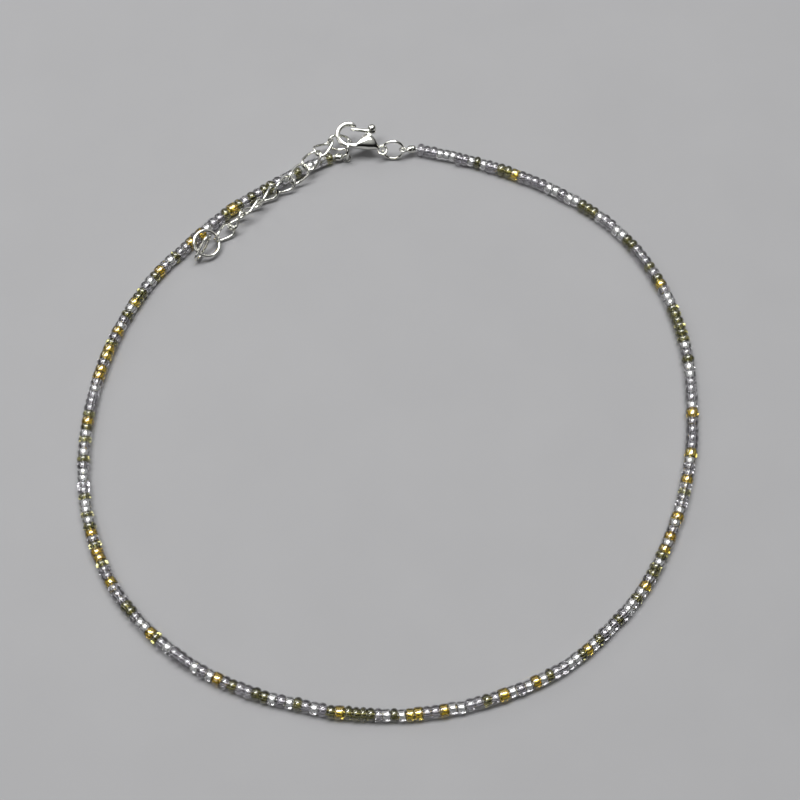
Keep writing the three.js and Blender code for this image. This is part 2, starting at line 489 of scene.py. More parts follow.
def circle_matrix(centre: Vector, across: Vector, up: Vector, half_across: float, half_up: float) -> Matrix:
    """Takes a unit circle to an oval section.

    Args:
        centre: the section's middle.
        across: unit vector of its first half axis.
        up: unit vector of its second half axis.
        half_across: first half axis.
        half_up: second half axis.

    Returns:
        The section's matrix.
    """
    normal = across.cross(up)
    matrix = Matrix.Identity(4)
    for column, vector in enumerate((across * half_across, up * half_up, normal)):
        for row in range(3):
            matrix[row][column] = vector[row]
    matrix.translation = centre
    return matrix


def between(rows: Sequence[tuple[float, ...]], cuts: int) -> list[tuple[float, ...]]:
    """Fills a short table with rows that lie smoothly between its own.

    Args:
        rows: the table's rows.
        cuts: rows added in each gap.

    Returns:
        All rows, in order.
    """
    padded = [rows[0], *rows, rows[-1]]
    found: list[tuple[float, ...]] = []
    for four in zip(padded, padded[1:], padded[2:], padded[3:]):
        for step in range(cuts + 1):
            t = step / (cuts + 1)
            found.append(
                tuple(
                    q + 0.5 * t * (r - p + t * (2 * p - 5 * q + 4 * r - s + t * (3 * (q - r) + s - p)))
                    for p, q, r, s in zip(*four)
                )
            )
    return [*found, tuple(rows[-1])]


def bar_sections(rows: Iterable[tuple[float, ...]], across: Point) -> list[Matrix]:
    """Sections of a bar that lies in the drawing's plane.

    Args:
        rows: the bar's rows, as BarRow has them.
        across: the direction of each section's width.

    Returns:
        One matrix for each row.
    """
    out = Vector(across).normalized()
    return [circle_matrix(Vector((x, y, 0.0)), out, UP, half, thick) for x, y, half, thick in rows]


def edges_of(verts: Iterable[bmesh.types.BMVert]) -> list[bmesh.types.BMEdge]:
    """The edges at some vertices, each once and in the same order on every run."""
    return list(dict.fromkeys(edge for vert in verts for edge in vert.link_edges))


def loft(bm: bmesh.types.BMesh, sections: Sequence[Matrix], sides: int, fullness: float = 1.0) -> None:
    """Adds a closed skin through a row of oval sections.

    Args:
        bm: the mesh that the skin is added to.
        sections: one matrix for each section, from a unit circle.
        sides: points on each section.
        fullness: 1 for a plain oval, less for one with fuller corners.
    """
    last: list[bmesh.types.BMEdge] = []
    for index, section in enumerate(sections):
        ends = index in (0, len(sections) - 1)
        ring = bmesh.ops.create_circle(bm, cap_ends=ends, radius=1.0, segments=sides)["verts"]
        for vert in ring:
            vert.co.x = math.copysign(abs(vert.co.x) ** fullness, vert.co.x)
            vert.co.y = math.copysign(abs(vert.co.y) ** fullness, vert.co.y)
        bmesh.ops.transform(bm, matrix=section, verts=ring)
        edges = edges_of(ring)
        if last:
            bmesh.ops.bridge_loops(bm, edges=last + edges)
        last = edges


def add_ring(bm: bmesh.types.BMesh, size: RingSize, steps: int, sides: int) -> None:
    """Adds a round wire ring about Z, closed or with a saw cut.

    Args:
        bm: the mesh that the ring is added to.
        size: the ring's size.
        steps: steps round the ring.
        sides: sides of the wire.
    """
    seat = Matrix.Translation((size.radius, 0.0, 0.0)) @ Matrix.Rotation(math.radians(90.0), 4, "X")
    made = bmesh.ops.create_circle(bm, cap_ends=False, radius=size.wire, segments=sides, matrix=seat)
    bmesh.ops.spin(
        bm,
        geom=made["verts"] + edges_of(made["verts"]),
        cent=(0.0, 0.0, 0.0),
        axis=(0.0, 0.0, 1.0),
        angle=math.radians(360.0 - size.cut),
        steps=steps,
        use_merge=size.cut == 0.0,
    )
    if size.cut:
        bmesh.ops.holes_fill(bm, edges=[edge for edge in bm.edges if edge.is_boundary], sides=0)
    bmesh.ops.recalc_face_normals(bm, faces=bm.faces[:])


def add_link(
    bm: bmesh.types.BMesh, size: LinkSize, steps: int = 40, sides: int = 12, cuts: int = 5
) -> None:
    """Adds a chain link: a ring drawn out into an oval, its two ends turned against each other.

    Args:
        bm: the mesh that the link is added to.
        size: the link's size.
        steps: steps round both ends.
        sides: sides of the wire.
        cuts: cuts along each straight side.
    """
    add_ring(bm, RingSize(size.half_width, size.wire), steps, sides)
    half_step = Matrix.Rotation(math.pi / steps, 3, "Z")
    bmesh.ops.rotate(bm, verts=bm.verts[:], cent=(0.0, 0.0, 0.0), matrix=half_step)
    for vert in bm.verts:
        vert.co.x += math.copysign(size.half_length - size.half_width, vert.co.x)
    straight = [edge for edge in bm.edges if edge.verts[0].co.x * edge.verts[1].co.x < 0.0]
    bmesh.ops.subdivide_edges(bm, edges=straight, cuts=cuts, use_grid_fill=True)
    for vert in bm.verts:
        turn = math.radians(-size.twist * vert.co.x / size.half_length)
        vert.co = Matrix.Rotation(turn, 3, "X") @ vert.co
    bmesh.ops.recalc_face_normals(bm, faces=bm.faces[:])


def add_block(bm: bmesh.types.BMesh, size: Point, at: Point) -> None:
    """Adds a plain block.

    Args:
        bm: the mesh that the block is added to.
        size: its three sides.
        at: its middle.
    """
    verts = bmesh.ops.create_cube(bm, size=1.0)["verts"]
    bmesh.ops.scale(bm, vec=size, verts=verts)
    bmesh.ops.translate(bm, vec=at, verts=verts)


def add_rod(bm: bmesh.types.BMesh, at: Point, radius: float, length: float, sides: int) -> None:
    """Adds a round rod along Z.

    Args:
        bm: the mesh that the rod is added to.
        at: its middle.
        radius: of the rod.
        length: of the rod.
        sides: points round it.
    """
    bmesh.ops.create_cone(
        bm,
        cap_ends=True,
        segments=sides,
        radius1=radius,
        radius2=radius,
        depth=length,
        matrix=Matrix.Translation(at),
    )


def bm_object(
    name: str, bm: bmesh.types.BMesh, place: Matrix, *materials: bpy.types.Material
) -> bpy.types.Object:
    """Turns a mesh drawn in millimetres into a smooth object in its place.

    Args:
        name: the piece's name.
        bm: the mesh, freed here.
        place: its placing matrix.
        materials: what it is made of.

    Returns:
        The linked object, at the origin.
    """
    bmesh.ops.transform(bm, matrix=place, verts=bm.verts[:])
    mesh = bpy.data.meshes.new(name)
    bm.to_mesh(mesh)
    bm.free()
    mesh.shade_smooth()
    for material in materials:
        mesh.materials.append(material)
    piece = bpy.data.objects.new(name, mesh)
    bpy.context.scene.collection.objects.link(piece)
    return piece


class Casting:
    """Fuses overlapping shells into one cast body with soft fillets, and cuts it."""

    VOXEL = 0.04
    SOFTEN_PASSES = 14
    EASE_PASSES = 8

    def _fuse(self, rough: bpy.types.Object, passes: int) -> None:
        """Makes one skin of all shells and smooths it.

        Args:
            rough: the shells.
            passes: of smoothing.
        """
        skin = rough.modifiers.new("skin", "REMESH")
        skin.mode = "VOXEL"
        skin.voxel_size = self.VOXEL
        soften = rough.modifiers.new("soften", "SMOOTH")
        soften.factor = 0.5
        soften.iterations = passes

    def pour(
        self,
        name: str,
        shells: bmesh.types.BMesh,
        cuts: bmesh.types.BMesh | None,
        place: Matrix,
        material: bpy.types.Material,
    ) -> bpy.types.Object:
        """Makes one cast piece in its place.

        Args:
            name: the piece's name.
            shells: closed shells in millimetres, freed here.
            cuts: closed cutters in millimetres, freed here, or nothing.
            place: the piece's placing matrix.
            material: the metal.

        Returns:
            The linked object.
        """
        rough = bm_object(name + "_shells", shells, Matrix.Identity(4))
        spent = [rough]
        self._fuse(rough, self.SOFTEN_PASSES)
        if cuts is not None:
            cutter = bm_object(name + "_cutter", cuts, Matrix.Identity(4))
            spent.append(cutter)
            slot = rough.modifiers.new("slot", "BOOLEAN")
            slot.operation = "DIFFERENCE"
            slot.object = cutter
            self._fuse(rough, self.EASE_PASSES)
        bpy.context.view_layer.update()
        graph = bpy.context.evaluated_depsgraph_get()
        mesh = bpy.data.meshes.new_from_object(rough.evaluated_get(graph))
        mesh.name = name
        mesh.transform(place)
        mesh.shade_smooth()
        mesh.materials.append(material)
        for mould in spent:
            bpy.data.objects.remove(mould)
        piece = bpy.data.objects.new(name, mesh)
        bpy.context.scene.collection.objects.link(piece)
        return piece


def hand_over(piece: bpy.types.Object, body: str, slot: str, *nodes: str) -> None:
    """Attaches a finished piece to its body and hides the solids that it stands for.

    Args:
        piece: the finished piece.
        body: the body that it rides on.
        slot: not used.
        nodes: the solids that it stands for.
    """
    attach(piece, body)
    if nodes:
        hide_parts(*nodes)
    LOG.info("%s: %d faces, on %s", piece.name, len(piece.data.polygons), body)


# Bead string


@dataclass(frozen=True)
class BeadShape:
    """Mean size of one kind of bead, and how square its ends are, from 0 for round to 1 for cut."""

    length: float
    diameter: float
    hole: float
    squareness: float

    @property
    def crown(self) -> float:
        """Share of the half length over which the bead keeps its full girth."""
        return 0.28 + 0.42 * self.squareness

    @property
    def shoulder(self) -> float:
        """Share of the wall, from the hole outwards, where the end is longest."""
        return 0.42 + 0.3 * self.squareness


class ChartRow(NamedTuple):
    """A charted stretch of the string: where it starts and the beads on it, in order."""

    start: float
    beads: str


class StrungBead(NamedTuple):
    """One bead on the string: its kind, its placing matrix in millimetres and its tone."""

    kind: BeadKind
    place: Matrix
    tone: float


class StringLine:
    """The smooth line through the route's points, measured along its length."""

    SPAN_SAMPLES = 24

    def __init__(self, points: list[tuple[float, float]], height: float) -> None:
        """Samples the line finely.

        Args:
            points: route points in millimetres.
            height: of the line above the table.
        """
        knots = [Vector((x, y, height)) for x, y in points]
        knots = [2 * knots[0] - knots[1], *knots, 2 * knots[-1] - knots[-2]]
        self.samples: list[Vector] = []
        for four in zip(knots, knots[1:], knots[2:], knots[3:]):
            self.samples.extend(self._span(four))
        self.samples.append(knots[-2])
        self.lengths = [0.0]
        for a, b in zip(self.samples, self.samples[1:]):
            self.lengths.append(self.lengths[-1] + (b - a).length)

    def _span(self, four: tuple[Vector, ...]) -> list[Vector]:
        """Points of one centripetal span.

        Args:
            four: the span's two ends with a neighbour on each side.

        Returns:
            Points from the span's start, its end left out.
        """
        times = [0.0]
        for a, b in zip(four, four[1:]):
            times.append(times[-1] + math.sqrt((b - a).length))
        levels = ((times[:3], times[1:]), (times[:2], times[2:]), (times[1:2], times[2:3]))
        found = []
        for step in range(self.SPAN_SAMPLES):
            t = times[1] + (times[2] - times[1]) * step / self.SPAN_SAMPLES
            points = list(four)
            for lows, highs in levels:
                points = [
                    a * ((high - t) / (high - low)) + b * ((t - low) / (high - low))
                    for a, b, low, high in zip(points, points[1:], lows, highs)
                ]
            found.append(points[0])
        return found

    @property
    def length(self) -> float:
        """The whole length of the line."""
        return self.lengths[-1]

    def at(self, distance: float) -> tuple[Vector, Vector]:
        """Where the line is, and its direction, at a distance from its start.

        Args:
            distance: along the line in millimetres.

        Returns:
            The point and the unit tangent.
        """
        low, high = 0, len(self.lengths) - 2
        while low < high:
            middle = (low + high + 1) // 2
            if self.lengths[middle] <= distance:
                low = middle
            else:
                high = middle - 1
        a, b = self.samples[low], self.samples[low + 1]
        share = (distance - self.lengths[low]) / (self.lengths[low + 1] - self.lengths[low])
        return a.lerp(b, min(max(share, 0.0), 1.0)), (b - a).normalized()


@dataclass
class BeadString:
    """The strung seed beads and their thread.

    A bead's cage is larger than the bead, because Subdivision draws it in.
    """

    diameter: float = 2.2
    gap: float = 0.03
    seed: int = 11
    length_spread: float = 0.08
    least_girth: float = 0.93
    full_turn: float = 6.28
    pitch_spread: float = 0.05
    yaw_spread: float = 0.06
    wander: float = 0.05
    cage_girth: float = 1.15
    cage_length: float = 1.2
    cage_hole: float = 1.02
    cage_lip: float = 0.62
    cage_sides: int = 8
    subdivisions: int = 2
    thread_radius: float = 0.2
    thread_tail: float = 0.9
    thread_steps: int = 150
    thread_sides: int = 8
    route: list[tuple[float, float]] = field(
        default_factory=lambda: [
            (4.8, 50.1),
            (11.1, 48.6),
            (19.4, 45.9),
            (27.3, 42.4),
            (34.7, 37.8),
            (41.0, 31.9),
            (45.7, 24.7),
            (48.9, 16.6),
            (50.5, 8.1),
            (50.6, -0.6),
            (49.8, -9.3),
            (47.8, -17.7),
            (44.6, -25.8),
            (40.3, -33.3),
            (34.6, -39.8),
            (28.0, -45.4),
            (20.3, -49.4),
            (12.0, -52.0),
            (3.5, -53.4),
            (-5.2, -53.3),
            (-13.8, -52.0),
            (-22.2, -49.7),
            (-30.1, -46.1),
            (-37.0, -41.0),
            (-42.9, -34.6),
            (-47.1, -27.0),
            (-49.7, -18.7),
            (-50.7, -10.1),
            (-50.3, -1.5),
            (-48.7, 7.1),
            (-45.8, 15.3),
            (-41.7, 22.9),
            (-36.1, 29.6),
            (-30.1, 35.8),
            (-23.2, 41.1),
            (-15.9, 45.8),
            (-12.6, 47.6),
            (-10.6, 48.5),
        ]
    )
    chart: list[ChartRow] = field(
        default_factory=lambda: [
            ChartRow(0.0, "GGGCCCGGCOCGG"),
            ChartRow(15.0, "OOYGGGGCCGCCO"),
            ChartRow(32.4, "OOCGGCCOOGGGOG"),
            ChartRow(50.7, "OYGCCOOOOOOCGO"),
            ChartRow(68.4, "CCGGGCYGGGGY"),
            ChartRow(86.0, "CGGYGOGGCYCGYCY"),
            ChartRow(103.5, "OCOOGYCOCCGOGC"),
            ChartRow(120.0, "GOCYOCCGGOCY"),
            ChartRow(134.7, "CGCYGOGGCCY"),
            ChartRow(149.8, "GGYYCOCGOOOO"),
            ChartRow(164.5, "YOGCGOCGCOO"),
            ChartRow(179.2, "GGOGYCGCGGGC"),
            ChartRow(195.2, "GOYCCGOOGGGYG"),
            ChartRow(211.0, "GOYYOGYOCOCCOGG"),
            ChartRow(227.5, "CCGOCGOCOYOGGGC"),
            ChartRow(245.0, "GYYGYYOGYCGOCY"),
            ChartRow(262.5, "OOGCOYGCOGGYGY"),
            ChartRow(280.2, "CGGOYOGOGOOG"),
            ChartRow(297.3, "CCOCCCCO"),
        ]
    )
    shapes: dict[BeadKind, BeadShape] = field(
        default_factory=lambda: {
            BeadKind.GREY: BeadShape(1.28, 2.2, 0.8, 0.3),
            BeadKind.CLEAR: BeadShape(1.27, 2.06, 0.9, 0.6),
            BeadKind.GOLD: BeadShape(1.36, 2.16, 1.0, 0.85),
            BeadKind.OLIVE: BeadShape(1.2, 2.24, 0.8, 0.2),
        }
    )

    def _cage(self, shape: BeadShape) -> bpy.types.Mesh:
        """One coarse bead about X, whose subdivided skin has the shape's size.

        Args:
            shape: the kind's mean size.

        Returns:
            A mesh of a few dozen faces, its hole faces marked with material 1.
        """
        bm = bmesh.new()
        outer = 0.5 * shape.diameter * self.cage_girth
        inner = 0.5 * shape.hole * self.cage_hole
        half = 0.5 * shape.length * self.cage_length
        shoulder = inner + shape.shoulder * (outer - inner)
        profile = [(shape.crown * half, outer), (half, shoulder), (self.cage_lip * half, inner)]
        profile += [(-x, r) for x, r in reversed(profile)]
        verts = [bm.verts.new((x, 0.0, r)) for x, r in profile]
        edges = [bm.edges.new(pair) for pair in zip(verts, verts[1:] + verts[:1])]
        bmesh.ops.spin(
            bm,
            geom=verts + edges,
            cent=(0.0, 0.0, 0.0),
            axis=(1.0, 0.0, 0.0),
            angle=math.radians(360.0),
            steps=self.cage_sides,
            use_merge=True,
        )
        bmesh.ops.recalc_face_normals(bm, faces=bm.faces[:])
        for face in bm.faces:
            middle = face.calc_center_median()
            face.material_index = int(math.hypot(middle.y, middle.z) < inner)
        cage = bpy.data.meshes.new("bead_cage")
        bm.to_mesh(cage)
        bm.free()
        return cage

    def _strung(self, line: StringLine) -> list[StrungBead]:
        """Where every charted bead sits, turned a little as strung beads are.

        Args:
            line: the string's line.

        Returns:
            All beads, in order.
        """
        luck = random.Random(self.seed)
        strung: list[StrungBead] = []
        ends = [row.start for row in self.chart[1:]] + [line.length]
        for row, end in zip(self.chart, ends):
            kinds = [BeadKind(letter) for letter in row.beads]
            least, most = 1.0 - self.length_spread, 1.0 + self.length_spread
            shares = [self.shapes[kind].length * luck.uniform(least, most) for kind in kinds]
            fit = (end - row.start) / sum(shares)
            at = row.start
            for kind, share in zip(kinds, shares):
                room = share * fit
                point, along = line.at(at + 0.5 * room)
                side = UP.cross(along).normalized()
                basis = Matrix((along, side, along.cross(side))).transposed().to_4x4()
                turn = luck.uniform(0.0, self.full_turn)
                pitch = luck.gauss(0.0, self.pitch_spread)
                yaw = luck.gauss(0.0, self.yaw_spread)
                tilt = Euler((turn, pitch, yaw), "XYZ").to_matrix().to_4x4()
                stretch = (room - self.gap) / self.shapes[kind].length
                girth = luck.uniform(self.least_girth, 1.0)
                sink = Vector((0.0, luck.gauss(0.0, self.wander), -0.5 * self.diameter * (1.0 - girth)))
                size = Matrix.Diagonal((stretch, girth, girth, 1.0))
                place = Matrix.Translation(point + sink) @ basis @ tilt @ size
                strung.append(StrungBead(kind, place, luck.random()))
                at += room
        return strung

    def _beads(self, kind: BeadKind, strung: Iterable[StrungBead], materials: Materials) -> None:
        """Makes one joined mesh of all beads of a kind.

        Args:
            kind: the kind of bead.
            strung: every bead on the string.
            materials: the built materials.
        """
        cage = self._cage(self.shapes[kind])
        bm = bmesh.new()
        tone = bm.verts.layers.float.new("tone")
        for bead in strung:
            if bead.kind is not kind:
                continue
            first = len(bm.verts)
            bm.from_mesh(cage)
            bm.verts.ensure_lookup_table()
            fresh = bm.verts[first:]
            bmesh.ops.transform(bm, matrix=bead.place, verts=fresh)
            for vert in fresh:
                vert[tone] = bead.tone
        bpy.data.meshes.remove(cage)
        name = f"beads_{kind.name.lower()}"
        piece = bm_object(name, bm, to_metres(), materials.glass[kind], materials.hole[kind])
        smooth = piece.modifiers.new("round", "SUBSURF")
        smooth.levels = self.subdivisions
        smooth.render_levels = self.subdivisions
        hand_over(piece, NECKLACE, name, "bead_string")

    def _thread(self, line: StringLine, material: bpy.types.Material) -> None:
        """Makes the thread through the beads, with a tail into each crimp.

        Args:
            line: the string's line.
            material: the thread's material.
        """
        bm = bmesh.new()
        sections = []
        count = self.thread_steps
        for step in range(-1, count + 2):
            point, along = line.at(line.length * min(max(step, 0), count) / count)
            if step in (-1, count + 1):
                point = point + along * math.copysign(self.thread_tail, step)
            side = UP.cross(along).normalized()
            sections.append(circle_matrix(point, side, UP, self.thread_radius, self.thread_radius))
        loft(bm, sections, self.thread_sides)
        bmesh.ops.recalc_face_normals(bm, faces=bm.faces[:])
        piece = bm_object("thread", bm, to_metres(), material)
        hand_over(piece, NECKLACE, "thread", "bead_string")

    def build(self, materials: Materials) -> None:
        """Makes the beads of each kind, and the thread.

        Args:
            materials: the built materials.
        """
        line = StringLine(self.route, 0.5 * self.diameter)
        strung = self._strung(line)
        for kind in BeadKind:
            self._beads(kind, strung, materials)
        self._thread(line, materials.thread)


# Clasp


class ShoulderRow(NamedTuple):
    """One section of the clasp's shoulder: its place, its two edges and its half thickness."""

    x: float
    low: float
    high: float
    thick: float


@dataclass
class LobsterClasp:
    """Cast lobster clasp with its sprung lever, drawn flat about the hook's centre, its tail along +x."""

    at: Point = (-7.65, 51.6, 3.5)
    heading: float = -21.0
    tilt: float = 12.0
    roll: float = 15.0
    hook_radius: float = 1.975
    hook_half: float = 0.42
    hook_half_thick: float = 0.5
    hook_tip: float = 72.0
    hook_heel: float = 300.0
    hook_steps: int = 26
    tip_steps: float = 3.5
    arm_across: Point = (0.3, -0.95, 0.0)
    arm: tuple[BarRow, ...] = (
        BarRow(1.4, -1.52, 0.43, 0.54),
        BarRow(1.9, -1.32, 0.48, 0.7),
        BarRow(2.4, -1.08, 0.5, 0.8),
        BarRow(2.9, -0.8, 0.46, 0.8),
    )
    shoulder: tuple[ShoulderRow, ...] = (
        ShoulderRow(1.45, -1.8, -1.1, 0.45),
        ShoulderRow(1.8, -1.8, -0.8, 0.6),
        ShoulderRow(2.05, -1.76, -0.3, 0.8),
        ShoulderRow(2.25, -1.72, 0.5, 0.94),
        ShoulderRow(2.5, -1.64, 1.15, 1.04),
        ShoulderRow(2.85, -1.52, 1.5, 1.13),
        ShoulderRow(3.5, -1.32, 1.62, 1.18),
        ShoulderRow(4.2, -1.08, 1.54, 1.12),
        ShoulderRow(4.8, -0.8, 1.24, 0.96),
        ShoulderRow(5.3, -0.5, 0.84, 0.74),
        ShoulderRow(5.75, -0.32, 0.46, 0.5),
        ShoulderRow(6.1, -0.27, 0.3, 0.34),
    )
    slot_size: Point = (3.3, 3.0, 1.0)
    slot_at: Point = (3.2, 1.62, 0.0)
    eye: RingSize = RingSize(0.8, 0.22)
    eye_at: Point = (6.64, 0.0, 0.0)
    pivot: Point = (3.4, 0.9, 0.0)
    rivet_radius: float = 0.28
    rivet_length: float = 2.3
    rivet_bevel: float = 0.08
    bar_across: Point = (-0.36, 0.93, 0.0)
    bar: tuple[BarRow, ...] = (
        BarRow(-0.1, 1.1, 0.14, 0.24),
        BarRow(0.2, 1.2, 0.23, 0.36),
        BarRow(1.1, 1.5, 0.27, 0.4),
        BarRow(2.2, 1.9, 0.34, 0.43),
        BarRow(3.2, 2.26, 0.4, 0.46),
        BarRow(3.9, 2.5, 0.38, 0.44),
        BarRow(4.2, 2.58, 0.24, 0.3),
    )
    knob_at: Point = (3.3, 2.86, 0.0)
    knob_radius: float = 0.8
    leg_size: Point = (0.8, 1.6, 0.5)
    leg_at: Point = (3.4, 1.6, 0.0)
    web_radius: float = 0.62
    web_thickness: float = 0.7
    bore_radius: float = 0.42
    bore_length: float = 2.0

    @property
    def place(self) -> Matrix:
        """The clasp's place in the necklace, in millimetres."""
        return Matrix.Translation(self.at) @ turned(self.heading, -self.tilt, self.roll)

    def _hook_sections(self) -> list[Matrix]:
        """Sections of the hook from its rounded tip to where its arm enters the shoulder.

        Returns:
            One matrix for each section.
        """
        sections = []
        for step in range(self.hook_steps + 1):
            angle = math.radians(self.hook_tip + (self.hook_heel - self.hook_tip) * step / self.hook_steps)
            out = Vector((math.cos(angle), math.sin(angle), 0.0))
            round_off = math.sqrt(min(1.0, (step + 0.5) / self.tip_steps))
            half, thick = self.hook_half * round_off, self.hook_half_thick * round_off
            sections.append(circle_matrix(out * self.hook_radius, out, UP, half, thick))
        return sections + bar_sections(between(self.arm, 1), self.arm_across)

    def _shoulder_sections(self) -> list[Matrix]:
        """Sections of the domed shoulder from the throat to the tail neck.

        Returns:
            One matrix for each section.
        """
        across = Vector((0.0, 1.0, 0.0))
        return [
            circle_matrix(Vector((x, 0.5 * (low + high), 0.0)), across, UP, 0.5 * (high - low), thick)
            for x, low, high, thick in between(self.shoulder, 3)
        ]

    def _build_body(self, material: bpy.types.Material) -> None:
        """Makes the hook, shoulder and tail eye in one, with a slot for the lever.

        Args:
            material: the silver.
        """
        bm = bmesh.new()
        add_ring(bm, self.eye, 32, 12)
        bmesh.ops.translate(bm, vec=self.eye_at, verts=bm.verts[:])
        loft(bm, self._hook_sections(), 32, 0.62)
        loft(bm, self._shoulder_sections(), 44, 0.8)
        bmesh.ops.recalc_face_normals(bm, faces=bm.faces[:])
        cuts = bmesh.new()
        add_block(cuts, self.slot_size, self.slot_at)
        piece = Casting().pour("clasp_body_cast", bm, cuts, to_metres(self.place), material)
        hand_over(piece, NECKLACE, SILVER, "clasp_body")

    def _build_rivet(self, material: bpy.types.Material) -> None:
        """Makes the rivet that the lever turns on.

        Args:
            material: the silver.
        """
        bm = bmesh.new()
        add_rod(bm, self.pivot, self.rivet_radius, self.rivet_length, 20)
        rims = [edge for edge in bm.edges if len({round(vert.co.z, 4) for vert in edge.verts}) == 1]
        bmesh.ops.bevel(
            bm, geom=rims, offset=self.rivet_bevel, segments=3, profile=0.5, affect="EDGES", material=-1
        )
        piece = bm_object("clasp_rivet", bm, to_metres(self.place), material)
        hand_over(piece, NECKLACE, SILVER)

    def _build_lever(self, material: bpy.types.Material) -> None:
        """Makes the sprung lever with its bar, thumb knob and bored web.

        Args:
            material: the silver.
        """
        bm = bmesh.new()
        loft(bm, bar_sections(between(self.bar, 2), self.bar_across), 16)
        knob = Matrix.Translation(self.knob_at)
        bmesh.ops.create_uvsphere(bm, u_segments=24, v_segments=16, radius=self.knob_radius, matrix=knob)
        under = Matrix.Translation(self.pivot) @ Matrix.Translation((0.0, 0.0, -0.5 * self.web_thickness))
        web = bmesh.ops.create_circle(bm, cap_ends=True, radius=self.web_radius, segments=24, matrix=under)
        base = list({face for vert in web["verts"] for face in vert.link_faces})
        raised = bmesh.ops.extrude_face_region(bm, geom=base)["geom"]
        top = [item for item in raised if isinstance(item, bmesh.types.BMVert)]
        bmesh.ops.translate(bm, vec=(0.0, 0.0, self.web_thickness), verts=top)
        add_block(bm, self.leg_size, self.leg_at)
        bmesh.ops.recalc_face_normals(bm, faces=bm.faces[:])
        cuts = bmesh.new()
        add_rod(cuts, self.pivot, self.bore_radius, self.bore_length, 24)
        piece = Casting().pour("clasp_lever_cast", bm, cuts, to_metres(self.place), material)
        hand_over(piece, LEVER, SILVER, "clasp_lever")

    def build(self, material: bpy.types.Material) -> None:
        """Makes the body, the rivet and the lever.

        Args:
            material: the silver.
        """
        self._build_body(material)
        self._build_rivet(material)
        self._build_lever(material)


# Rings, crimps and chain


class LinkTurn(NamedTuple):
    """How one chain link lies, in degrees."""

    heading: float
    rise: float
    roll: float

    @property
    def matrix(self) -> Matrix:
        """The turn as a matrix."""
        return turned(self.heading, self.rise, self.roll)

    @property
    def along(self) -> Vector:
        """The unit vector along the link."""
        return self.matrix @ Vector((1.0, 0.0, 0.0))


def build_ring(name: str, size: RingSize, place: Matrix, material: bpy.types.Material) -> bpy.types.Object:
    """Makes one wire ring in its place.

    Args:
        name: the piece's name.
        size: the ring's size.
        place: its place in the necklace in millimetres.
        material: the silver.

    Returns:
        The ring.
    """
    bm = bmesh.new()
    add_ring(bm, size, 64, 14)
    return bm_object(name, bm, to_metres(place), material)


def build_link(name: str, size: LinkSize, place: Matrix, material: bpy.types.Material) -> bpy.types.Object:
    """Makes one chain link in its place.

    Args:
        name: the piece's name.
        size: the link's size.
        place: its place in the necklace in millimetres.
        material: the silver.

    Returns:
        The link.
    """
    bm = bmesh.new()
    add_link(bm, size)
    return bm_object(name, bm, to_metres(place), material)


class CrimpEnd(NamedTuple):
    """Where a crimp sits: its angle on its ring in degrees, and the point that its barrel reaches for."""

    angle: float
    tip: Point


class BarrelRow(NamedTuple):
    """One section of a crimp's barrel: its share of the length and of the full girth."""

    share: float
    girth: float


